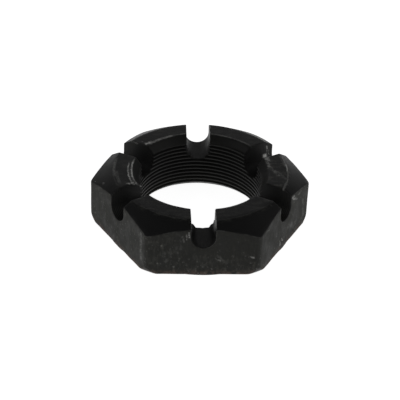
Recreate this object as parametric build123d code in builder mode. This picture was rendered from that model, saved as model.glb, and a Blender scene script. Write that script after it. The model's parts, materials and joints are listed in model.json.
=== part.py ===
"""Low hexagon castle nut with a fine metric thread, in millimetres.

The nut stands on its washer face: the origin is the centre of that face and +Z runs up the
thread axis to the crown. Two corners of the hexagon lie on the X axis, so one flat, with its
slot, faces -Y.

It is one piece. A forged hexagon blank is turned on both ends, bored and countersunk for the
thread, and milled across the crown in passes that each open two opposite slots. The bore is
left at the thread's minor diameter, ready for the tap.
"""

import os
from math import cos, pi, radians, sqrt, tan

from build123d import *

# Hexagon blank
side_count = 6
across_flats = 90.0
corner_radius = 3.3  # forged rounding along the upright corners
height = 27.9

# Crown, turned on the slotted end
crown_diameter = 82.2  # flat ring round the mouth of the bore
crown_slope = 32.5  # degrees that the cone outside the ring falls from level

# Base, turned on the bearing end
washer_inset = 0.1  # how far the washer face ends inside the flats
washer_height = 0.6  # how far it stands below the hexagon's underside
base_inset = 2.3  # how far that underside ends inside the hexagon's sharp corners
base_rounding = 9.0  # radius turned on the corners above it

# Thread M60 x 2
thread_diameter = 60.0
thread_pitch = 2.0
thread_truncation = 5 / 8  # share of the sharp triangle's height that the ISO profile keeps
crown_countersink = 2.2  # how far the countersink at the crown spreads outside the thread
base_countersink = 1.1  # the same at the bearing face
countersink_angle = 90.0  # included angle, both ends

# Slots for the split pin
slot_width = 11.3
slot_depth = 12.6  # from the crown to the bottom of the round floor

# Room that a cutter has outside the metal
cutter_clearance = 5.0

# Blank and turned ends
corner_reach = across_flats / 2 / cos(pi / side_count)
turning_radius = corner_reach + cutter_clearance
crown_radius = crown_diameter / 2
crown_drop = (turning_radius - crown_radius) * tan(radians(crown_slope))
washer_radius = across_flats / 2 - washer_inset
underside_radius = corner_reach - base_inset
rounding_rise = sqrt(base_inset * (2 * base_rounding - base_inset))
rounding_top = washer_height + rounding_rise

# Bore and countersinks
sharp_thread_height = thread_pitch * sqrt(3) / 2
minor_radius = thread_diameter / 2 - thread_truncation * sharp_thread_height
crown_mouth_radius = thread_diameter / 2 + crown_countersink
base_mouth_radius = thread_diameter / 2 + base_countersink
countersink_rise = 1 / tan(radians(countersink_angle / 2))
crown_mouth_depth = (crown_mouth_radius - minor_radius) * countersink_rise
base_mouth_depth = (base_mouth_radius - minor_radius) * countersink_rise

# Slots
slot_radius = slot_width / 2
slot_axis_height = height - slot_depth + slot_radius
slot_passes = side_count // 2

# The milling cutter's path: a round-bottomed bar right across the nut, open at the top
with BuildPart() as slot_cutter:
    with BuildSketch(Plane.XZ):
        with Locations((0, slot_axis_height)):
            Circle(slot_radius)
            Rectangle(slot_width, slot_depth, align=(Align.CENTER, Align.MIN))
    extrude(amount=turning_radius, both=True)

with BuildPart() as castle_nut:
    # Forged blank
    with BuildSketch():
        RegularPolygon(radius=across_flats / 2, side_count=side_count, major_radius=False)
        fillet(vertices(), radius=corner_radius)
    extrude(amount=height)

    # Cone turned off the crown, outside the flat ring
    with BuildSketch(Plane.XZ):
        with BuildLine():
            Polyline(
                (crown_radius, height),
                (turning_radius, height - crown_drop),
                (turning_radius, height),
                close=True,
            )
        make_face()
    revolve(axis=Axis.Z, mode=Mode.SUBTRACT)

    # Washer face, and the corners rounded above it
    with BuildSketch(Plane.XZ):
        with BuildLine():
            Polyline(
                (corner_reach, rounding_top),
                (turning_radius, rounding_top),
                (turning_radius, 0),
                (washer_radius, 0),
                (washer_radius, washer_height),
                (underside_radius, washer_height),
            )
            TangentArc(
                (corner_reach, rounding_top),
                (underside_radius, washer_height),
                tangent=(0, -1),
            )
        make_face()
    revolve(axis=Axis.Z, mode=Mode.SUBTRACT)

    # Bore, countersunk at both mouths
    with BuildSketch(Plane.XZ):
        with BuildLine():
            Polyline(
                (0, 0),
                (base_mouth_radius, 0),
                (minor_radius, base_mouth_depth),
                (minor_radius, height - crown_mouth_depth),
                (crown_mouth_radius, height),
                (0, height),
                close=True,
            )
        make_face()
    revolve(axis=Axis.Z, mode=Mode.SUBTRACT)

    # Slots, two opposite ones at each pass of the cutter
    with PolarLocations(radius=0, count=slot_passes, angular_range=180):
        add(slot_cutter.part, mode=Mode.SUBTRACT)

castle_nut.part.label = "castle_nut"

os.makedirs("parts", exist_ok=True)
export_step(castle_nut.part, "parts/castle_nut.step")
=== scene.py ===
"""A low castle nut in blackened steel, standing on a pale studio floor.

The nut is a forged hexagon, turned on both ends, milled across the crown and tapped with a fine
thread. It is one piece, so the scene has one sub-assembly, with its thread cut as real geometry.
Lengths are in metres, in the frame of the CAD part: the bearing face lies on z = 0 and +Z runs up
the thread axis to the crown.
"""

import json
import logging
import math
from dataclasses import dataclass
from enum import Enum
from functools import reduce

import bmesh
import bpy
import numpy as np
from mathutils import Matrix, Vector


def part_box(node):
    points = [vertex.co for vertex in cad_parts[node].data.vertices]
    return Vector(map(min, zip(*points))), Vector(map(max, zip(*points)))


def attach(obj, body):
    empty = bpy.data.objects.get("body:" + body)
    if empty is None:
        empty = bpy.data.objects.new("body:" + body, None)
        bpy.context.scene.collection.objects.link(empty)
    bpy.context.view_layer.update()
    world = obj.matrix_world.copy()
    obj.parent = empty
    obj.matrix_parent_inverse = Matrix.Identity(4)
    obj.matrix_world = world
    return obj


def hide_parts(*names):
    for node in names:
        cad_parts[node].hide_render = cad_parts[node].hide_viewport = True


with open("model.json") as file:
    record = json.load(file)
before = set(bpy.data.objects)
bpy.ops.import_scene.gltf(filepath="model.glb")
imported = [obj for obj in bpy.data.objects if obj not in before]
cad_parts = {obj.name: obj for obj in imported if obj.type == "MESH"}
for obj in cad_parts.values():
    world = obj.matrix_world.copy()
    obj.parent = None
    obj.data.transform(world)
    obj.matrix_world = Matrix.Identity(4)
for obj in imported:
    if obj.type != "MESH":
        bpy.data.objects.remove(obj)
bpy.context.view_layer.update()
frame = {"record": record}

MM = 0.001
SIDES = 6
HALF_SECTOR = math.pi / SIDES
WELD = 1e-6  # points closer than this become one after the thread is cut
SMOOTH = {"interpolation_type": "SMOOTHSTEP"}
Socket = bpy.types.NodeSocket
Array = np.ndarray
log = logging.getLogger("castle_nut")


def placed(name: str, data: bpy.types.ID) -> bpy.types.Object:
    """Puts data into the scene.

    Args:
        name: What to call the object.
        data: Its mesh, light or camera.

    Returns:
        The object.
    """
    made = bpy.data.objects.new(name, data)
    bpy.context.scene.collection.objects.link(made)
    return made


def points_of(mesh: bpy.types.Mesh) -> Array:
    """Returns the places of a mesh's points, one a row."""
    return np.array([point.co for point in mesh.vertices])


def grid(out: Array, along: Array, z: Array) -> Array:
    """Stacks three coordinates, each spread over the others, into points."""
    return np.stack(np.broadcast_arrays(out, along, z), axis=-1)


def direction(azimuth: float, elevation: float) -> Vector:
    """Returns the way out at these degrees to the right of the front and up from the floor."""
    turn, rise = math.radians(azimuth), math.radians(elevation)
    return Vector((math.sin(turn) * math.cos(rise), -math.cos(turn) * math.cos(rise), math.sin(rise)))


# --- Shader building ---


class Value:
    """A number that varies over a surface: a socket that adds Math nodes when it is used."""

    def __init__(self, bench: "Bench", socket: Socket) -> None:
        """Wraps an output socket of the bench's tree."""
        self.bench = bench
        self.socket = socket

    def math(self, operation: str, *others: "Value | float", first: float | None = None) -> "Value":
        """Adds one Math node.

        Args:
            operation: The node's operation.
            others: The operands that follow this one.
            first: An operand that goes before this one, for reflected operators.

        Returns:
            The node's result.
        """
        operands = ([] if first is None else [first]) + [self, *others]
        node = self.bench.node("ShaderNodeMath", {"operation": operation}, dict(enumerate(operands)))
        return Value(self.bench, node.outputs[0])

    def __add__(self, other: "Value | float") -> "Value":
        """Returns self + other."""
        return self.math("ADD", other)

    def __sub__(self, other: "Value | float") -> "Value":
        """Returns self - other."""
        return self.math("SUBTRACT", other)

    def __rsub__(self, other: float) -> "Value":
        """Returns other - self."""
        return self.math("SUBTRACT", first=other)

    def __mul__(self, other: "Value | float") -> "Value":
        """Returns self * other."""
        return self.math("MULTIPLY", other)

    __radd__ = __add__
    __rmul__ = __mul__

    def larger(self, other: "Value | float") -> "Value":
        """Returns the larger of the two."""
        return self.math("MAXIMUM", other)

    def mean(self, other: "Value") -> "Value":
        """Returns the mean of the two."""
        return (self + other) * 0.5

    def swing(self, strength: float) -> "Value":
        """Returns how far a noise lies from its middle, times a strength."""
        return (self - 0.5) * strength

    def waves(self, length: float, wobble: "Value") -> "Value":
        """Returns waves of a length, from -1 to 1, whose phase the wobble shifts."""
        return (self * (math.tau / length) + wobble).math("SINE")

    def step(self, low: float, high: float) -> "Value":
        """Returns a smooth ramp from 0 at low to 1 at high, which may be the smaller one."""
        node = self.bench.node("ShaderNodeMapRange", SMOOTH, {0: self, 1: low, 2: high})
        return Value(self.bench, node.outputs[0])


class Bench:
    """Adds nodes to one material's tree."""

    def __init__(self, material: bpy.types.Material) -> None:
        """Starts an empty node tree on a material.

        Args:
            material: The material to dress.
        """
        material.use_nodes = True
        self.tree = material.node_tree
        self.tree.nodes.clear()

    def node(self, kind: str, settings: dict | None = None, inputs: dict | None = None) -> bpy.types.Node:
        """Adds one node.

        Args:
            kind: The node's type.
            settings: Properties that are set before its sockets.
            inputs: Socket name or number to a constant, a Value, or an output socket.

        Returns:
            The new node.
        """
        made = self.tree.nodes.new(kind)
        for name, setting in (settings or {}).items():
            setattr(made, name, setting)
        for name, given in (inputs or {}).items():
            given = given.socket if isinstance(given, Value) else given
            if isinstance(given, Socket):
                self.tree.links.new(given, made.inputs[name])
            else:
                made.inputs[name].default_value = given
        return made

    def place(self) -> Socket:
        """Returns the place on the object that is being shaded."""
        return self.node("ShaderNodeTexCoord").outputs["Object"]

    def attribute(self, name: str) -> Value:
        """Returns a number stored on the mesh's points."""
        return Value(self, self.node("ShaderNodeAttribute", {"attribute_name": name}).outputs["Fac"])

    def vector(self, operation: str, *operands: object, output: str = "Vector") -> Socket:
        """Adds one Vector Math node and returns one of its outputs."""
        node = self.node("ShaderNodeVectorMath", {"operation": operation}, dict(enumerate(operands)))
        return node.outputs[output]

    def scaled(self, vector: object, factor: Value | float) -> Socket:
        """Returns a vector times a number."""
        inputs = {"Vector": vector, "Scale": factor}
        return self.node("ShaderNodeVectorMath", {"operation": "SCALE"}, inputs).outputs[0]

    def noise(
        self,
        place: Socket,
        scale: float,
        stretch: tuple[float, float, float] = (1.0, 1.0, 1.0),
        detail: float = 3.0,
    ) -> Value:
        """Adds a noise texture.

        Args:
            place: The coordinates it is read at.
            scale: How many cells there are in a metre.
            stretch: What the coordinates are multiplied by along each axis.
            detail: How many finer layers it has.

        Returns:
            The noise, from 0 to 1 around 0.5.
        """
        read_at = self.vector("MULTIPLY", place, stretch)
        inputs = {"Vector": read_at, "Scale": scale, "Detail": detail, "Roughness": 0.6}
        return Value(self, self.node("ShaderNodeTexNoise", None, inputs).outputs[0])

    def blend(self, share: Value, low: object, high: object) -> Socket:
        """Returns a mix of two colours, by the share that the second has of it."""
        inputs = {0: share, 6: low, 7: high}
        return self.node("ShaderNodeMix", {"data_type": "RGBA"}, inputs).outputs[2]

    def skin(self, inputs: dict) -> None:
        """Ends the tree with a surface shader that has these inputs."""
        shader = self.node("ShaderNodeBsdfPrincipled", None, inputs)
        self.node("ShaderNodeOutputMaterial", None, {"Surface": shader.outputs[0]})


@dataclass(frozen=True)
class Spot:
    """A place on a surface, as values that a finish can work with.

    Attributes:
        bench: The bench that the values belong to.
        place: The place itself.
        x: Its distance along X.
        y: Its distance along Y.
        z: Its height.
        around: Its distance from the axis.
    """

    bench: Bench
    place: Socket
    x: Value
    y: Value
    z: Value
    around: Value

    @classmethod
    def at(cls, bench: Bench, place: Socket) -> "Spot":
        """Returns the place that a socket on the bench carries."""
        x, y, z = (Value(bench, out) for out in bench.node("ShaderNodeSeparateXYZ", None, {0: place}).outputs)
        return cls(bench, place, x, y, z, (x * x + y * y).math("POWER", 0.5))

    def drifted(self, scale: float, reach: float) -> "Spot":
        """Moves the place about by noise, so that what is drawn there comes out ragged.

        Args:
            scale: How many swings of the noise there are to a metre.
            reach: How far the strongest noise moves it.

        Returns:
            The moved place.
        """
        inputs = {"Vector": self.place, "Scale": scale, "Detail": 2.0}
        noise = self.bench.node("ShaderNodeTexNoise", None, inputs).outputs["Color"]
        swing = self.bench.vector("SUBTRACT", noise, (0.5, 0.5, 0.5))
        move = self.bench.scaled(swing, 2 * reach)
        return Spot.at(self.bench, self.bench.vector("ADD", self.place, move))


@dataclass(frozen=True)
class RubAndHighlight:
    """A line that runs round the axis on the crown, drawn as bare metal: most are worn, and some are painted
    highlight along the ring's outer edge.

    Attributes:
        radius: Its distance from the axis, in millimetres.
        azimuth: Degrees round from +X to its middle.
        spread: Degrees that it reaches each way.
        width: Half its width, in millimetres.
        strength: How much of the film gives way to bare metal.
    """

    radius: float
    azimuth: float
    spread: float
    width: float
    strength: float

    def share(self, spot: Spot) -> Value:
        """Finds how much of the film gives way to bare metal.

        Args:
            spot: Where.

        Returns:
            Its share.
        """
        turn, reach = math.radians(self.azimuth), math.radians(self.spread)
        band = (spot.around - self.radius * MM).math("ABSOLUTE")
        band = band.step(self.width * MM, 0.25 * self.width * MM)
        facing = (spot.x * math.cos(turn) + spot.y * math.sin(turn)).math("DIVIDE", spot.around)
        return band * facing.step(math.cos(reach), math.cos(0.6 * reach)) * self.strength


@dataclass(frozen=True)
class Scratch:
    """A straight mark.

    Attributes:
        start: One end, in millimetres.
        end: The other end, in millimetres.
        width: Half its width, in millimetres.
        strength: How much of the film has gone.
    """

    start: tuple
    end: tuple
    width: float
    strength: float

    def share(self, spot: Spot) -> Value:
        """Finds how much of the film has gone.

        Args:
            spot: Where.

        Returns:
            Its share.
        """
        bench = spot.bench
        first, last = Vector(self.start) * MM, Vector(self.end) * MM
        way = last - first
        away = bench.vector("SUBTRACT", spot.place, first)
        along = Value(bench, bench.vector("DOT_PRODUCT", away, way / way.length_squared, output="Value"))
        reach = bench.scaled(way, along.larger(0.0).math("MINIMUM", 1.0))
        gap = Value(bench, bench.vector("LENGTH", bench.vector("SUBTRACT", away, reach), output="Value"))
        return gap.step(self.width * MM, 0.2 * self.width * MM) * self.strength


@dataclass(frozen=True)
class Trace:
    """How strongly a pattern shows on the metal.

    Attributes:
        low: Value of the pattern up to which nothing shows.
        high: Value from which it shows in full.
        plain: Its strength everywhere.
        extra: What is added to that where there is more of it.
    """

    low: float
    high: float
    plain: float
    extra: float

    def share(self, pattern: Value, more: Value) -> Value:
        """Returns how much shows, given the pattern and where there is more of it."""
        return pattern.step(self.low, self.high) * (self.plain + more * self.extra)


class Metal:
    """What the finish reads at each place: where it is, how it was made and used, and its noises."""

    def __init__(self, bench: Bench, crown: float) -> None:
        """Reads everything on a bench.

        Args:
            bench: The bench.
            crown: Height of the crown.
        """
        place = bench.place()
        self.spot = spot = Spot.at(bench, place)
        self.clouds = bench.noise(place, 75.0)
        self.mottle = bench.noise(place, 420.0)
        self.speckle = bench.noise(place, 1100.0, detail=2.0)
        self.grain = bench.noise(place, 2600.0, detail=2.0)
        self.upright = bench.noise(place, 620.0, (1.0, 1.0, 0.30))
        self.drawn = bench.noise(place, 900.0, (1.0, 1.0, 0.62))
        self.patches = bench.noise(place, 210.0, (1.0, 1.0, 0.6))
        self.smears = bench.noise(place, 330.0, (0.6, 1.4, 1.0))
        self.broken = self.mottle.mean(self.speckle).step(0.42, 0.57)

        self.gap, self.out = bench.attribute("gap"), bench.attribute("out")
        self.turned, self.milled, self.bored = map(bench.attribute, ("turned", "milled", "bored"))
        self.forged = (1.0 - self.turned - self.milled - self.bored).larger(0.0)
        self.feed = self.out.waves(0.85 * MM, self.mottle * 4.0) * self.milled
        self.feed = self.feed * self.out.step(36.0 * MM, 41.0 * MM)
        self.rings = spot.around.waves(0.32 * MM, self.clouds * 5.0) * self.turned

        self.level = spot.z.step(crown - 1.2 * MM, crown - 0.4 * MM)
        self.seat = spot.z.step(0.9 * MM, 0.3 * MM)
        self.foot = spot.z.step(4.0 * MM, 0.6 * MM) * spot.around.step(44.4 * MM, 45.2 * MM)
        self.right = spot.x.step(29.0 * MM, 36.0 * MM)
        self.beside = spot.x.step(-6.0 * MM, -18.0 * MM).larger(self.right)
        self.handled = spot.z.step(17.0 * MM, 4.0 * MM).larger(self.beside * 0.8)
        self.bore_end = spot.z.step(11.0 * MM, 3.0 * MM) * self.bored
        self.side_floors = spot.x.math("ABSOLUTE").step(24.0 * MM, 32.0 * MM)
        self.side_floors = self.side_floors * spot.z.step(20.0 * MM, 17.0 * MM)


@dataclass(frozen=True)
class BlackenedSteel:
    """Black oxide on forged and machined steel, worn to bare metal in small scuffs, with bare metal also
    painted as highlight lines on the crown.

    Attributes:
        turned: Colour of the film on turned metal.
        forged: Its colour on the forged flats.
        milled: Its colour in the slots.
        bored: Its colour in the bore.
        faded: Its colour where handling has thinned it.
        bare: Colour of the steel under it, also painted as highlight lines on the crown.
        foot_tint: Colour of the brown tint along the foot.
        gloss: Index of refraction of the oiled film.
        roughness: How rough the smooth metal is, and how much rougher the forged flats are.
        blotches: Broad thin places on the flats.
        streaks: Upright thin places on the flats.
        flecks: Small thin places on the flats.
        smudges: Thin places on the turned faces.
        specks: Bare points on the flats.
        feed: The cutter's marks in the slots.
        edge_wear: How strongly the edges are worn.
        rub_and_highlight_cover: Least share of the crown's worn lines and painted highlight lines that comes
            through the grain.
        scratch_cover: The same for a scratch.
    """

    turned: tuple = (0.0080, 0.0080, 0.0080, 1.0)
    forged: tuple = (0.0068, 0.0070, 0.0054, 1.0)
    milled: tuple = (0.0116, 0.0116, 0.0112, 1.0)
    bored: tuple = (0.0135, 0.0135, 0.0125, 1.0)
    faded: tuple = (0.050, 0.050, 0.044, 1.0)
    bare: tuple = (0.56, 0.56, 0.54, 1.0)
    foot_tint: tuple = (0.075, 0.050, 0.040, 1.0)
    gloss: float = 1.26
    roughness: tuple = (0.44, 0.23)
    blotches: Trace = Trace(0.42, 0.62, 0.16, 0.12)
    streaks: Trace = Trace(0.46, 0.68, 0.12, 0.18)
    flecks: Trace = Trace(0.50, 0.64, 0.05, 0.32)
    smudges: Trace = Trace(0.46, 0.66, 0.42, 0.50)
    specks: Trace = Trace(0.58, 0.68, 0.02, 0.10)
    feed: Trace = Trace(0.0, 1.0, 0.12, 0.45)
    edge_wear: float = 0.09
    rub_and_highlight_cover: float = 0.45
    scratch_cover: float = 0.15

    def film(self, metal: Metal) -> Socket:
        """Colours the film, with its thin places and the brown tint along the foot.

        Args:
            metal: What is read at each place.

        Returns:
            The colour.
        """
        bench = metal.spot.bench
        film = bench.blend(metal.forged, self.turned, self.forged)
        film = bench.blend(metal.milled, film, self.milled)
        film = bench.blend(metal.bored, film, self.bored)
        film = bench.blend(metal.bore_end * 0.25, film, self.faded)
        uneven = metal.clouds * 0.2 + metal.patches * 0.55 + metal.mottle * 0.25
        thin = self.blotches.share(uneven, metal.beside) + self.streaks.share(metal.upright, metal.handled)
        thin = thin + self.flecks.share(metal.drawn.mean(metal.mottle), metal.handled)
        more = metal.spot.x.step(27.0 * MM, 32.0 * MM)
        smudges = self.smudges.share(metal.smears * 0.7 + metal.speckle * 0.3, more)
        smudges = smudges * metal.turned * metal.level.larger(metal.seat)
        film = bench.blend(thin * metal.forged + smudges, film, self.faded)
        # A mottled brown tint along the foot.
        foot_tint = metal.foot * metal.mottle.step(0.38, 0.58) * (0.8 - metal.turned * 0.4)
        film = bench.blend(foot_tint, film, self.foot_tint)
        return bench.blend(self.feed.share(metal.feed, metal.side_floors), film, self.faded)

    def wear(self, metal: Metal, rubs_and_highlights: tuple, scratches: tuple) -> Value:
        """Finds where the film gives way to bare metal: along the edges, in the marks, in the painted
        highlight lines on the crown, and in specks on the flats.

        Args:
            metal: What is read at each place.
            rubs_and_highlights: Worn lines on the crown, and painted highlight lines along its outer edge.
            scratches: Straight marks anywhere.

        Returns:
            How much of it has gone.
        """
        ragged = metal.gap + metal.mottle.swing(0.5) + metal.speckle.swing(0.3)
        edges = ragged.step(0.34, 0.05) * metal.clouds.step(0.40, 0.62)
        edges = edges * (1.0 - metal.bored) * self.edge_wear
        spot = metal.spot.drifted(700.0, 0.4 * MM)
        # Worn lines on the crown, with the painted highlight lines along its outer edge.
        rub_and_highlight = reduce(Value.larger, [rub_and_highlight.share(spot) for rub_and_highlight in rubs_and_highlights]) * metal.level
        spot = metal.spot.drifted(600.0, 1.0 * MM)
        scratch = reduce(Value.larger, [scratch.share(spot) for scratch in scratches])
        rub_and_highlight = rub_and_highlight * (self.rub_and_highlight_cover + metal.broken * (1 - self.rub_and_highlight_cover))
        scratch = scratch * (self.scratch_cover + metal.broken * (1 - self.scratch_cover))
        specks = self.specks.share(metal.drawn.mean(metal.speckle), metal.handled) * metal.forged
        return edges.larger(rub_and_highlight.larger(scratch)).larger(specks)

    def material(self, crown: float, rubs_and_highlights: tuple, scratches: tuple) -> bpy.types.Material:
        """Builds the finish.

        Args:
            crown: Height of the crown.
            rubs_and_highlights: Worn lines on the crown, and painted highlight lines along its outer edge.
            scratches: Straight marks anywhere.

        Returns:
            The material.
        """
        made = bpy.data.materials.new("blackened_steel")
        bench = Bench(made)
        metal = Metal(bench, crown)
        worn = self.wear(metal, rubs_and_highlights, scratches)
        smooth, forged = self.roughness
        smooth = smooth + metal.milled * 0.06 + metal.mottle.swing(0.16) - worn * 0.05
        forged = forged + metal.right * 0.05 + metal.patches.swing(0.7) + metal.upright.swing(0.35)
        height = metal.grain * 0.35 + metal.mottle * 0.8 * metal.forged
        height = height + metal.rings * 0.10 + metal.feed * 0.30
        relief = {"Strength": 0.35, "Distance": 0.12 * MM, "Height": height}
        bump = bench.node("ShaderNodeBump", None, relief)
        inputs = {
            "Base Color": bench.blend(worn, self.film(metal), self.bare),
            "Metallic": worn * 0.9,
            "Roughness": smooth + forged * metal.forged,
            "IOR": self.gloss,
            "Normal": bump.outputs[0],
        }
        bench.skin(inputs)
        return made


# --- The nut ---


class Surface(Enum):
    """The faces that bound the nut, in the order of their distances."""

    FLAT = 0
    CROWN = 1
    CONE = 2
    BEARING = 3
    BASE_CORNER = 4
    BORE = 5
    CROWN_MOUTH = 6
    BASE_MOUTH = 7
    SLOT = 8
    UNDERSIDE = 9


RIPPLES = 7  # waves that make up one uneven pattern
RIPPLE_HEIGHT = 3.0  # their usual highest sum
SETTLE_ROUNDS = 7  # rounds of moving the points onto the surface
SETTLE_STEP = 0.004 * MM  # distance over which its slope is measured
LEAST_STEEP = 0.25  # keeps a round from overshooting where the slope is weak
MERGE = 0.002 * MM  # points of neighbouring grids closer than this are one
TURNED = (Surface.CROWN, Surface.CONE, Surface.BEARING, Surface.BASE_CORNER, Surface.UNDERSIDE)
BORED = (Surface.BORE, Surface.CROWN_MOUTH, Surface.BASE_MOUTH)


@dataclass
class NutForm:
    """The nut as distances from the faces that bound it, with its edges rounded off.

    Attributes:
        across_flats: Width over two opposite flats.
        height: From the bearing face to the crown.
        bore_radius: The thread's minor radius.
        slot_radius: Half a slot's width, and the radius of its floor.
        slot_axis_height: Height of the centre of a slot's floor.
        corner_radius: Rounding of the upright corners.
        crown_radius: Outer radius of the flat ring at the crown.
        crown_slope: How far the cone outside it falls from level.
        washer_radius: Outer radius of the washer face that the nut stands on.
        washer_height: How far that face stands below the hexagon's underside.
        base_inset: How far the underside ends inside the hexagon's sharp corners.
        base_rounding: Radius that the corners are turned to above it.
        crown_mouth_radius: Outer radius of the upper countersink.
        base_mouth_radius: Outer radius of the lower countersink.
        edge_radius: Mean rounding of the edges.
        edge_unevenness: How much that varies, as a share of it, and over what distance.
        face_unevenness: How far the faces are out of true, and over what distance.
    """

    across_flats: float
    height: float
    bore_radius: float
    slot_radius: float
    slot_axis_height: float
    corner_radius: float = 3.3 * MM
    crown_radius: float = 41.1 * MM
    crown_slope: float = math.radians(32.5)
    washer_radius: float = 44.9 * MM
    washer_height: float = 0.6 * MM
    base_inset: float = 2.3 * MM
    base_rounding: float = 9.0 * MM
    crown_mouth_radius: float = 32.2 * MM
    base_mouth_radius: float = 31.1 * MM
    edge_radius: float = 0.32 * MM
    edge_unevenness: tuple = (0.35, 9 * MM)
    face_unevenness: tuple = (0.035 * MM, 14 * MM)

    @property
    def crown_mouth_depth(self) -> float:
        """Depth of the upper countersink."""
        return self.crown_mouth_radius - self.bore_radius

    @property
    def base_mouth_places(self) -> list[tuple]:
        """Ends of the lower countersink in the section, as distances from the axis and heights."""
        return [(self.bore_radius, self.base_mouth_radius - self.bore_radius), (self.base_mouth_radius, 0)]

    @property
    def foot_places(self) -> list[tuple]:
        """Ends of the bearing face and of the washer face's rim in the section."""
        washer = self.washer_radius
        return [(self.base_mouth_radius, 0), (washer, 0), (washer, self.washer_height)]

    @property
    def underside_radius(self) -> float:
        """Outer radius of the hexagon's underside."""
        return self.across_flats / 2 / math.cos(HALF_SECTOR) - self.base_inset

    @property
    def rounding_centre(self) -> tuple[float, float]:
        """Distance from the axis and height of the base rounding's centre."""
        rise = math.sqrt(self.base_inset * (2 * self.base_rounding - self.base_inset))
        return self.underside_radius + self.base_inset - self.base_rounding, self.washer_height + rise

    def fold(self, points: Array) -> tuple[Array, Array, Array]:
        """Turns every point into the first half-sector.

        Args:
            points: Places, one a row.

        Returns:
            Distance out along the nearest flat's normal, distance along that flat, and height.
        """
        around = np.hypot(points[:, 0], points[:, 1])
        angle = np.arctan2(points[:, 1], points[:, 0]) + math.pi / 2
        sector = 2 * HALF_SECTOR
        angle = np.abs((angle + HALF_SECTOR) % sector - HALF_SECTOR)
        return around * np.cos(angle), around * np.sin(angle), points[:, 2]

    def distances(self, points: Array) -> Array:
        """Measures how far each point lies outside each bounding face.

        Args:
            points: Places, one a row.

        Returns:
            One row a point and one column a Surface, negative on the metal's side.
        """
        out, along, z = self.fold(points)
        around = np.hypot(out, along)
        inset = self.across_flats / 2 - self.corner_radius
        past, beside = out - inset, along - inset * math.tan(HALF_SECTOR)
        flat = np.hypot(np.maximum(past, 0), np.maximum(beside, 0))
        flat += np.minimum(np.maximum(past, beside), 0) - self.corner_radius
        flat = np.where(beside > 0, flat, out - self.across_flats / 2)
        crown = z - self.height
        cone = (around - self.crown_radius) * math.sin(self.crown_slope)
        cone += crown * math.cos(self.crown_slope)
        middle, level = self.rounding_centre
        corner = np.hypot(np.maximum(around - middle, 0), np.minimum(z - level, 0)) - self.base_rounding
        lean = math.sqrt(0.5)
        upper = (self.crown_mouth_radius - (self.height - z) - around) * lean
        lower = (self.base_mouth_radius - z - around) * lean
        underside = np.minimum(self.washer_height - z, around - self.washer_radius)
        below = np.minimum(z - self.slot_axis_height, 0)
        slot = self.slot_radius - np.hypot(along, below)
        bore = self.bore_radius - around
        faces = [flat, crown, cone, -z, corner, bore, upper, lower, slot, underside]
        return np.stack(faces, axis=1)

    def ripple(self, points: Array, length: float, seed: int) -> Array:
        """Gives a smooth uneven value over space, from about -1 to 1.

        Args:
            points: Places, one a row.
            length: The usual distance between two crests.
            seed: Picks the pattern.

        Returns:
            One value a point.
        """
        rng = np.random.default_rng(seed)
        total = np.zeros(len(points))
        for _ in range(RIPPLES):
            way = rng.normal(size=3)
            way *= math.tau / length / np.linalg.norm(way) * rng.uniform(0.6, 1.5)
            total += np.sin(points @ way + rng.uniform(0, math.tau))
        return total / RIPPLE_HEIGHT

    def outside(self, points: Array) -> Array:
        """Measures how far each point lies outside the nut with its edges rounded.

        Args:
            points: Places, one a row.

        Returns:
            One distance a point, zero on the surface.
        """
        sharp = self.distances(points)
        height, length = self.edge_unevenness
        soft = self.edge_radius * (1.0 + height * self.ripple(points, length, 3))
        excess = np.maximum(sharp + soft[:, None], 0)
        rounded = np.minimum(sharp.max(axis=1), -soft) + np.sqrt((excess**2).sum(axis=1))
        height, length = self.face_unevenness
        uneven = height * self.ripple(points, length, 8)
        return rounded + uneven * np.clip(-sharp[:, Surface.BEARING.value] / MM, 0, 1)

    def settle(self, points: Array) -> Array:
        """Moves points onto the rounded surface.

        Args:
            points: Places near it, one a row.

        Returns:
            The same points on the surface.
        """
        for _ in range(SETTLE_ROUNDS):
            here = self.outside(points)
            ways = SETTLE_STEP * np.eye(3)
            rise = [self.outside(points + way) - self.outside(points - way) for way in ways]
            slope = np.stack(rise, axis=1) / (2 * SETTLE_STEP)
            steep = np.maximum((slope**2).sum(axis=1), LEAST_STEEP)
            points = points - slope * (here / steep)[:, None]
        return points

    def cone_height(self, around: Array) -> Array:
        """Returns the cone's height at a distance from the axis."""
        return self.height - (around - self.crown_radius) * math.tan(self.crown_slope)

    def skirt_height(self, around: Array) -> Array:
        """Returns the base rounding's height at a distance from the axis."""
        past = np.maximum(around, self.underside_radius) - self.rounding_centre[0]
        return self.rounding_centre[1] - np.sqrt(self.base_rounding**2 - past**2)


@dataclass(frozen=True)
class Stretch:
    """How the grid's rows lie along one stretch of the nut's section.

    Attributes:
        rows: Rows between its crowded ends.
        edge_at_start: Whether rows crowd at its start.
        edge_at_end: Whether rows crowd at its end.
        outwards: Whether its length is measured away from the axis only.
    """

    rows: int
    edge_at_start: bool = True
    edge_at_end: bool = True
    outwards: bool = False


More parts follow.
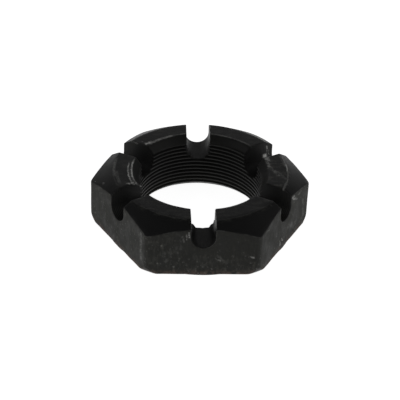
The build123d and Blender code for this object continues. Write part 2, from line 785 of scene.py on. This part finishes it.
@dataclass
class NutBody:
    """The nut without its thread, as one closed grid of faces.

    The fields that are stretches follow the section, from the bearing face round to the lower
    countersink. The flats are split at the height of the slots' axes.

    Attributes:
        form: The shape it follows.
        slot_columns: Grid columns over half a slot's width.
        flat_columns: Grid columns from a slot to the end of the foot's chamfer.
        end_columns: Grid columns from there to the corner's rounding.
        corner_columns: Grid columns over half the corner's rounding.
        near: Distance of the first crowded row from an edge, in edge radii, and its largest share.
        far: The same for the second.
    """

    form: NutForm
    slot_columns: int = 7
    flat_columns: int = 17
    end_columns: int = 3
    corner_columns: int = 4
    near: tuple = (0.45, 0.12)
    far: tuple = (1.3, 0.30)
    bearing: Stretch = Stretch(6)
    rim: Stretch = Stretch(2)
    underside: Stretch = Stretch(3)
    base_corner: Stretch = Stretch(6)
    lower_flat: Stretch = Stretch(11)
    upper_flat: Stretch = Stretch(4, edge_at_start=False)
    cone: Stretch = Stretch(6, outwards=True)
    ring: Stretch = Stretch(9)
    mouth: Stretch = Stretch(4, outwards=True)
    upper_bore: Stretch = Stretch(4, edge_at_end=False)
    lower_bore: Stretch = Stretch(10)
    base_mouth: Stretch = Stretch(3, outwards=True)

    def shares(self, length: Array, stretch: Stretch) -> Array:
        """Divides lengths into rows that crowd towards the edges.

        Args:
            length: The lengths to divide.
            stretch: How the rows lie along them.

        Returns:
            Shares from 0 to 1, one row a grid row and one column a length.
        """
        length = np.maximum(length, 1e-9)
        start, end = np.zeros_like(length), np.ones_like(length)
        near = np.minimum(self.near[0] * self.form.edge_radius / length, self.near[1])
        far = np.minimum(self.far[0] * self.form.edge_radius / length, self.far[1])
        low = far if stretch.edge_at_start else start
        high = 1 - far if stretch.edge_at_end else end
        middle = [low + (high - low) * share for share in np.linspace(0, 1, stretch.rows)]
        head = [start, near] if stretch.edge_at_start else []
        tail = [1 - near, end] if stretch.edge_at_end else []
        return np.stack(head + middle + tail)

    def route(self, columns: int, places: list[tuple], stretches: list[Stretch]) -> list[Array]:
        """Draws the rows straight from each place in the section to the next.

        Args:
            columns: How many columns each row has.
            places: Distance from the axis and height of each place, the same for all columns or one each.
            stretches: How the rows lie between them.

        Returns:
            Distance from the axis and height of every grid point, one array a stretch.
        """
        whole = np.ones(columns)
        ends = [np.stack([around * whole, z * whole], axis=-1) for around, z in places]
        rows = []
        for first, last, stretch in zip(ends, ends[1:], stretches):
            out, up = np.abs(last - first).T
            length = out if stretch.outwards else np.hypot(out, up)
            rows.append(first + (last - first) * self.shares(length, stretch)[:, :, None])
        return rows

    def columns(self) -> tuple[Array, Array]:
        """Spaces the grid's columns from the slot's wall to the corner.

        Returns:
            The angle and distance from the axis of each column on the outline.
        """
        form = self.form
        wall = form.slot_radius
        inset = form.across_flats / 2 - form.corner_radius
        tangent = inset * math.tan(HALF_SECTOR)
        chamfer_end = math.sqrt(form.underside_radius**2 - (form.across_flats / 2) ** 2)
        near, far = wall + self.near[0] * form.edge_radius, wall + self.far[0] * form.edge_radius
        flat = np.linspace(far, chamfer_end, self.flat_columns)
        end = np.linspace(chamfer_end, tangent, self.end_columns + 1)[1:]
        turn = np.linspace(0, HALF_SECTOR, self.corner_columns + 1)[1:]
        along = np.concatenate([[wall, near], flat, end, tangent + form.corner_radius * np.sin(turn)])
        out = np.full(len(along), form.across_flats / 2)
        out[-len(turn) :] = inset + form.corner_radius * np.cos(turn)
        return np.arctan2(along, out), np.hypot(along, out)

    def patches(self) -> list[Array]:
        """Lays out the grid of one half-sector: half a castellation, half a slot, and its wall.

        Returns:
            Grids of points, each wound so that its faces look outwards.
        """
        form = self.form
        angle, reach = self.columns()
        lean = np.arcsin(form.slot_radius / reach)
        share = (angle - lean) / (HALF_SECTOR - lean)
        foot = np.minimum(reach, form.underside_radius)
        skirt, brim = form.skirt_height(reach), form.cone_height(reach)
        axis_z = form.slot_axis_height
        middle = skirt + (brim - skirt) * (axis_z - skirt[0]) / (brim[0] - skirt[0])
        places = form.foot_places + [
            (foot, form.washer_height),
            (reach, skirt),
            (reach, middle),
            (reach, brim),
            (form.crown_radius, form.height),
            (form.crown_mouth_radius, form.height),
            (form.bore_radius, form.height - form.crown_mouth_depth),
            (form.bore_radius, axis_z),
            *form.base_mouth_places,
        ]
        under = [self.bearing, self.rim, self.underside, self.base_corner]
        outside = under + [self.lower_flat, self.upper_flat]
        crown = [self.cone, self.ring, self.mouth]
        inside = [self.upper_bore, self.lower_bore, self.base_mouth]
        section = self.route(len(reach), places, outside + crown + inside)
        grids = []
        for rows in section:
            around = rows[..., 0]
            turn = (1 - share) * np.arcsin(form.slot_radius / around) + share * HALF_SECTOR
            grids.append(grid(around * np.cos(turn), around * np.sin(turn), rows[..., 1]))
        top = np.concatenate([rows[:, 0] for rows in section[len(outside) : -len(inside)]])
        out, rise = np.sqrt(top[:, 0] ** 2 - form.slot_radius**2), top[:, 1] - axis_z
        wall = grid(out, form.slot_radius, axis_z + rise * self.shares(rise, self.upper_flat))
        return grids + self.slot(out) + [wall[::-1]]

    def slot(self, out: Array) -> list[Array]:
        """Lays out what lies under half a slot, with the slot's floor.

        Args:
            out: Distance out of each row of the floor at its wall.

        Returns:
            Grids of points, each wound so that its faces look outwards.
        """
        form = self.form
        sweep = np.linspace(0, math.pi / 2, self.slot_columns + 1)
        side = form.slot_radius * np.sin(sweep)
        floor_z = form.slot_axis_height - form.slot_radius * np.cos(sweep)
        bore_out = np.sqrt(form.bore_radius**2 - side**2)
        spread = (out - bore_out[-1]) / (out[0] - bore_out[-1])
        floor = grid(bore_out + (form.across_flats / 2 - bore_out) * spread[:, None], side, floor_z)
        reach = np.hypot(form.across_flats / 2, side)
        places = form.foot_places + [(reach, form.washer_height), (reach, floor_z)]
        outside = self.route(len(side), places, [self.bearing, self.rim, self.underside, self.lower_flat])
        places = [(form.bore_radius, floor_z), *form.base_mouth_places]
        inside = self.route(len(side), places, [self.lower_bore, self.base_mouth])
        laid = [grid(np.sqrt(rows[..., 0] ** 2 - side**2), side, rows[..., 1]) for rows in outside + inside]
        laid.insert(len(outside), floor)
        return laid

    def build(self, name: str) -> bpy.types.Object:
        """Makes the closed mesh.

        Args:
            name: The object's name.

        Returns:
            The object.
        """
        points, faces, count = [], [], 0
        for patch in self.patches():
            rows, cols = patch.shape[:2]
            index = np.arange(rows * cols).reshape(rows, cols)
            quads = np.stack([index[:-1, :-1], index[:-1, 1:], index[1:, 1:], index[1:, :-1]], axis=-1)
            quads = quads.reshape(-1, 4)
            out, offset, z = patch.reshape(-1, 3).T
            for side in (1, -1):
                for sector in range(SIDES):
                    turn = -math.pi / 2 + sector * 2 * HALF_SECTOR
                    cos, sin = math.cos(turn), math.sin(turn)
                    along = side * offset
                    points.append(grid(out * cos - along * sin, out * sin + along * cos, z))
                    faces.append((quads if side == 1 else quads[:, ::-1]) + count)
                    count += len(z)
        mesh = bpy.data.meshes.new(name)
        mesh.from_pydata(np.concatenate(points).tolist(), [], np.concatenate(faces).tolist())
        build = bmesh.new()
        build.from_mesh(mesh)
        bmesh.ops.remove_doubles(build, verts=build.verts, dist=MERGE)
        bmesh.ops.recalc_face_normals(build, faces=build.faces)
        build.to_mesh(mesh)
        build.free()
        mesh.vertices.foreach_set("co", self.form.settle(points_of(mesh)).ravel())
        mesh.update()
        return placed(name, mesh)


@dataclass
class Tap:
    """The cutter that leaves the thread: a helical bar with the groove's section.

    Attributes:
        minor_radius: Radius of the bore that it cuts into.
        pitch: Rise of one turn.
        turns: How many turns the bar has.
        start: Height of the middle of its first section.
        clearance: How far it reaches inside the bore's wall.
        steps: Sections in one turn.
        fade: Heights between which the groove runs out.
        flank_angle: Angle of the groove's sides.
        depth_share: Its depth, as a share of the full triangle of its profile.
        root_share: Half the width of its root, as a share of the pitch.
    """

    minor_radius: float
    fade: tuple
    pitch: float = 2.0 * MM
    turns: int = 14
    start: float = -1.4 * MM
    clearance: float = 0.3 * MM
    steps: int = 180
    flank_angle: float = math.radians(30)
    depth_share: float = 5 / 8
    root_share: float = 1 / 16

    def build(self, name: str) -> bpy.types.Object:
        """Makes the cutter.

        Args:
            name: The object's name.

        Returns:
            The object, as a closed mesh.
        """
        flank = math.tan(self.flank_angle)
        depth = self.depth_share * self.pitch / 2 / flank
        root = self.root_share * self.pitch
        mouth = root + (depth + self.clearance) * flank
        inner, outer = self.minor_radius - self.clearance, self.minor_radius + depth
        section = [(inner, -mouth), (outer, -root), (outer, root), (inner, mouth)]
        low, high = self.fade
        build = bmesh.new()
        rings = []
        for i in range(self.turns * self.steps + 1):
            turn = math.tau * i / self.steps
            cos, sin = math.cos(turn), math.sin(turn)
            rise = self.start + self.pitch * i / self.steps
            sunk = (depth + self.clearance) * min(max((rise - low) / (high - low), 0.0), 1.0)
            places = [((r - sunk) * cos, (r - sunk) * sin, rise + z) for r, z in section]
            rings.append([build.verts.new(place) for place in places])
        for here, there in zip(rings, rings[1:]):
            for i in range(len(section)):
                build.faces.new((here[i], here[i - 1], there[i - 1], there[i]))
        build.faces.new(rings[0])
        build.faces.new(rings[-1][::-1])
        bmesh.ops.recalc_face_normals(build, faces=build.faces)
        mesh = bpy.data.meshes.new(name)
        build.to_mesh(mesh)
        build.free()
        return placed(name, mesh)


@dataclass
class CastleNut:
    """The finished nut: body, thread, wear and finish.

    Attributes:
        form: The shape that everything follows.
        finish: What its metal looks like.
        rubs_and_highlights: Worn lines on the crown, and painted highlight lines along its outer edge.
        scratches: Straight marks.
        run_out: Height under the crown's mouth over which the thread runs out.
        edge_reach: How far from an edge its distance is kept.
        blend: Distance over which one kind of surface passes into another.
        crease: Angle from which an edge is shaded as sharp.
    """

    form: NutForm
    finish: BlackenedSteel = BlackenedSteel()
    rubs_and_highlights: tuple = (
        RubAndHighlight(32.4, 180, 19, 0.55, 0.9),
        RubAndHighlight(34.1, 184, 16, 0.45, 0.8),
        RubAndHighlight(33.4, 188, 13, 1.5, 0.12),
        RubAndHighlight(40.6, 177, 13, 1, 0.22),
        RubAndHighlight(39.4, 189, 9, 1.1, 0.14),
        RubAndHighlight(40.9, 9, 11, 0.45, 0.62),
        RubAndHighlight(41, -10, 18, 0.42, 0.24),
        RubAndHighlight(40.2, 12, 8, 0.7, 0.16),
        RubAndHighlight(40.7, -22, 9, 0.6, 0.3),
        RubAndHighlight(32.9, 124, 15, 1, 0.48),
        RubAndHighlight(32.9, 104, 9, 0.6, 0.26),
        RubAndHighlight(32.9, 58, 20, 0.8, 0.18),
        RubAndHighlight(32.8, 82, 10, 0.6, 0.18),
        # Painted highlight: the two faint lines along the ring's outer edge at the front.
        RubAndHighlight(41, -60, 22, 0.5, 0.05),
        RubAndHighlight(41, -120, 22, 0.5, 0.06),
    )
    scratches: tuple = (
        Scratch((-31.3, -11, 27.9), (-34.2, -11.6, 27.9), 0.9, 1),
        Scratch((-31.6, -10.6, 27.9), (-30.3, -10.5, 27.6), 0.8, 1),
        Scratch((-30.3, -10.6, 27.5), (-27.4, -9.4, 24.3), 0.55, 0.75),
        Scratch((-27.8, -9.6, 24.7), (-27.2, -9.2, 23.9), 0.75, 0.85),
        Scratch((-45.7, -6.7, 24.8), (-45.3, -7.2, 24.9), 0.8, 0.75),
        Scratch((-49.3, -2, 22.6), (-48.2, -3.6, 23.1), 0.35, 0.4),
        Scratch((-25.2, 22.8, 27.9), (-23.2, 24.6, 27.9), 1.2, 0.85),
        Scratch((-27.8, 25.3, 27.9), (-25, 22.9, 27.9), 0.45, 0.25),
        Scratch((-32.4, 25.2, 27.7), (-29, 23.2, 27.4), 0.4, 0.25),
        Scratch((-9.4, -45, 21.6), (-8.8, -45, 18.9), 0.8, 0.09),
        Scratch((-8, -45, 23.2), (-7.5, -45, 20), 0.6, 0.2),
        Scratch((-6.8, -45, 23.9), (-6.3, -45, 21.2), 0.6, 0.4),
        Scratch((-10.8, -45, 19.4), (-10.2, -45, 14.6), 1.1, 0.035),
        Scratch((-12.4, -45, 17.2), (-12, -45, 12.6), 1.1, 0.04),
        Scratch((-15, -45, 14.8), (-14.7, -45, 10.4), 1.2, 0.035),
        Scratch((-17.6, -45, 12.6), (-16.8, -45, 8), 1.4, 0.04),
        Scratch((-28, -41.2, 20.5), (-28, -41.5, 6.5), 1.6, 0.12),
        Scratch((31.9, 24.8, 20.4), (32.6, 25.2, 20), 1.5, 0.8),
        Scratch((33.1, 25.6, 25.5), (33, 25.6, 20), 0.55, 0.5),
        Scratch((34.2, 26.3, 22.5), (34.2, 26.3, 20), 0.5, 0.42),
        Scratch((31.8, 12.4, 27.9), (32.4, 8.2, 27.9), 1.7, 0.46),
        Scratch((32, 8.4, 27.9), (32.5, 3, 27.9), 1.3, 0.34),
        Scratch((33.4, 2, 27.9), (36.4, -3.3, 27.9), 1.6, 0.24),
        Scratch((36, -0.4, 27.9), (39.4, -6.6, 27.9), 1.4, 0.1),
        Scratch((42.4, -16.7, 24.4), (43, -15.6, 22.8), 1.1, 0.6),
        Scratch((43.1, -15.4, 22.6), (45, -12.1, 20.4), 0.7, 0.3),
        Scratch((45.8, -10.7, 21.9), (47.2, -8.2, 22.4), 0.7, 0.2),
        Scratch((28.4, 7.6, 8.4), (28.2, 8.4, 7.9), 0.45, 0.6),
        Scratch((36.3, -27.1, 6.2), (37, -25.9, 3.9), 0.9, 0.4),
        Scratch((37.6, -24.9, 6.4), (38.2, -23.8, 4.9), 0.8, 0.36),
        Scratch((40.6, -19.7, 9.6), (45, -12.1, 7.2), 2.4, 0.08),
        Scratch((28.8, -40, 20.9), (30, -38, 20.6), 0.8, 0.14),
        Scratch((48.4, -6.2, 16), (49.4, -4.4, 6.4), 1.6, 0.08),
        Scratch((6, -45, 9.4), (8, -45, 8.4), 0.7, 0.12),
        Scratch((6.6, -45, 11), (11, -45, 6.8), 1, 0.05),
        Scratch((22, -45, 10.5), (23, -45, 10.1), 0.8, 0.26),
        Scratch((5.8, 39, 27.7), (5.8, 32.4, 27.2), 0.6, 0.5),
    )
    run_out: float = 1.0 * MM
    edge_reach: float = 4 * MM
    blend: float = 0.3 * MM
    crease: float = math.radians(42)

    def cut_thread(self, body: bpy.types.Object) -> None:
        """Cuts the thread into the bore, and clears the slivers that this leaves.

        Args:
            body: The nut's body, whose mesh is replaced.
        """
        mouth = self.form.height - self.form.crown_mouth_depth
        tap = Tap(self.form.bore_radius, (mouth, mouth + self.run_out)).build("tap")
        cut = body.modifiers.new("thread", "BOOLEAN")
        cut.operation = "DIFFERENCE"
        cut.solver = "EXACT"
        cut.object = tap
        graph = bpy.context.evaluated_depsgraph_get()
        mesh = bpy.data.meshes.new_from_object(body.evaluated_get(graph))
        body.modifiers.clear()
        body.data = mesh
        bpy.data.objects.remove(tap)
        welded = bmesh.new()
        welded.from_mesh(mesh)
        bmesh.ops.remove_doubles(welded, verts=welded.verts[:], dist=WELD)
        bmesh.ops.triangulate(welded, faces=welded.faces[:], quad_method="BEAUTY", ngon_method="BEAUTY")
        welded.to_mesh(mesh)
        welded.free()

    def store(self, mesh: bpy.types.Mesh, name: str, values: Array) -> None:
        """Keeps one number for every point of a mesh."""
        kept = mesh.attributes.new(name, "FLOAT", "POINT")
        kept.data.foreach_set("value", values.astype(np.float32))

    def mark(self, mesh: bpy.types.Mesh) -> None:
        """Stores where the metal is turned, milled or bored, and how far off its edges are.

        Args:
            mesh: The nut's final mesh.
        """
        points = points_of(mesh)
        sharp = self.form.distances(points)
        second = np.sort(sharp, axis=1)[:, -2]
        self.store(mesh, "gap", np.clip(-second, 0, self.edge_reach) / MM)
        self.store(mesh, "out", self.form.fold(points)[0])

        def belongs(kinds: tuple[Surface, ...]) -> Array:
            """Finds how much each point belongs to some faces.

            Args:
                kinds: The faces.

            Returns:
                One share a point.
            """
            mine = [kind.value for kind in kinds]
            others = [kind.value for kind in Surface if kind not in kinds]
            lead = sharp[:, mine].max(axis=1) - sharp[:, others].max(axis=1)
            return np.clip(0.5 + lead / self.blend, 0, 1)

        self.store(mesh, "turned", belongs(TURNED))
        self.store(mesh, "bored", belongs(BORED))
        self.store(mesh, "milled", belongs((Surface.SLOT,)))

    def build(self) -> bpy.types.Object:
        """Makes the nut and places it in the frame.

        Returns:
            The object.
        """
        body = NutBody(self.form).build("nut")
        self.cut_thread(body)
        mesh = body.data
        mesh.name = "nut"
        mesh.shade_smooth()
        mesh.set_sharp_from_angle(angle=self.crease)
        self.mark(mesh)
        mesh.materials.clear()
        mesh.materials.append(self.finish.material(self.form.height, self.rubs_and_highlights, self.scratches))
        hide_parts("castle_nut")
        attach(body, "root")
        log.info("nut: %d points, %d faces", len(mesh.vertices), len(mesh.polygons))
        return body


# --- The studio ---


@dataclass(frozen=True)
class Softbox:
    """A large soft light.

    Attributes:
        name: What it is called.
        azimuth: Degrees round from the front, to the right.
        elevation: Degrees up from the floor.
        distance: How far it stands from the nut.
        width: Its width.
        tall: Its height.
        power: Its power in watts.
    """

    name: str
    azimuth: float
    elevation: float
    distance: float
    width: float
    tall: float
    power: float

    def build(self, target: Vector) -> None:
        """Hangs the light and turns it to a target.

        Args:
            target: The place it shines at.
        """
        light = bpy.data.lights.new(self.name, "AREA")
        light.shape = "RECTANGLE"
        light.size, light.size_y, light.energy = self.width, self.tall, self.power
        way = direction(self.azimuth, self.elevation)
        made = placed(self.name, light)
        made.location = target + way * self.distance
        made.rotation_euler = (-way).to_track_quat("-Z", "Y").to_euler()


@dataclass
class Studio:
    """The pale floor, the soft lights and the camera.

    Attributes:
        target: The middle of the nut.
        azimuth: Degrees that the camera stands round from the front, to the right.
        elevation: Degrees that it looks down.
        roll: Degrees that it leans.
        distance: How far it stands from the target.
        lens: Its focal length in millimetres.
        sensor: The width of its sensor in millimetres.
        aim_right: How far right of the picture's centre the target lies, as a share of its width.
        aim_up: How far above the picture's centre the target lies, as a share of its width.
        boxes: The soft lights.
        floor_reach: How far the floor reaches each way.
        floor_tones: The two tones that its colour varies between.
        daylight: Strength of the light from all round.
    """

    target: Vector
    azimuth: float = -3.252
    elevation: float = 34.048
    roll: float = 2.220
    distance: float = 0.7642
    lens: float = 145.05
    sensor: float = 36.0
    aim_right: float = -0.0008
    aim_up: float = 0.0129
    boxes: tuple = (
        Softbox("left_box", -75, 28, 0.9, 0.7, 0.6, 1.0),
        Softbox("right_box", 75, 28, 0.9, 0.7, 0.6, 1.0),
        Softbox("back_box", 180, 22, 1.0, 1.4, 0.45, 1.0),
    )
    floor_reach: float = 3.0
    floor_tones: tuple = ((0.90, 0.90, 0.90, 1), (0.93, 0.93, 0.93, 1))
    daylight: float = 0.12

    def build_floor(self) -> None:
        """Lays the floor."""
        mesh = bpy.data.meshes.new("floor")
        size = self.floor_reach
        corners = [(-size, -size, 0), (size, -size, 0), (size, size, 0), (-size, size, 0)]
        mesh.from_pydata(corners, [], [(0, 1, 2, 3)])
        floor = placed("floor", mesh)
        material = bpy.data.materials.new("floor")
        bench = Bench(material)
        tone = bench.blend(bench.noise(bench.place(), 4.0, detail=2.0), *self.floor_tones)
        bench.skin({"Base Color": tone, "Roughness": 0.9, "Emission Color": tone, "Emission Strength": 1.0})
        mesh.materials.append(material)

    def build_camera(self) -> None:
        """Sets up the camera."""
        turn, back = math.radians(self.azimuth), direction(self.azimuth, self.elevation)
        right = Vector((math.cos(turn), math.sin(turn), 0))
        up = back.cross(right)
        lean = math.radians(self.roll)
        cos, sin = math.cos(lean), math.sin(lean)
        right, up = right * cos + up * sin, up * cos - right * sin
        place = self.target + back * self.distance
        field_width = self.sensor / self.lens * self.distance
        aim = self.target - right * (self.aim_right * field_width) - up * (self.aim_up * field_width)
        back = (place - aim).normalized()
        right = up.cross(back).normalized()
        up = back.cross(right)
        data = bpy.data.cameras.new("camera")
        data.lens, data.sensor_width = self.lens, self.sensor
        data.clip_start, data.clip_end = 0.01, 20.0
        camera = placed("camera", data)
        turned = Matrix((right, up, back)).transposed().to_4x4()
        camera.matrix_world = Matrix.Translation(place) @ turned
        bpy.context.scene.camera = camera

    def build(self) -> None:
        """Builds the whole studio."""
        self.build_floor()
        for box in self.boxes:
            box.build(self.target)
        world = bpy.data.worlds.new("studio")
        world.use_nodes = True
        background = world.node_tree.nodes["Background"]
        background.inputs["Color"].default_value = (1.0, 1.0, 1.0, 1.0)
        background.inputs["Strength"].default_value = self.daylight
        bpy.context.scene.world = world
        bpy.context.scene.view_settings.view_transform = "Standard"
        self.build_camera()
        log.info("studio: floor, %d lights, camera", len(self.boxes))


def main() -> None:
    """Builds the nut, then the studio round it."""
    logging.basicConfig(level=logging.INFO, format="%(name)s %(message)s")
    mounts = {mount["name"]: mount for mount in frame["record"]["mounts"]}
    low, high = (Vector(corner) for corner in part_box("castle_nut"))
    slot = mounts["pin_slots_front_back"]
    form = NutForm(
        across_flats=high.y - low.y,
        height=high.z - low.z,
        bore_radius=mounts["thread"]["dims"]["r_mm"] * MM,
        slot_radius=slot["dims"]["r_mm"] * MM,
        slot_axis_height=slot["pos_m"][2],
    )
    CastleNut(form).build()
    Studio((low + high) / 2).build()


if __name__ == "__main__":
    main()
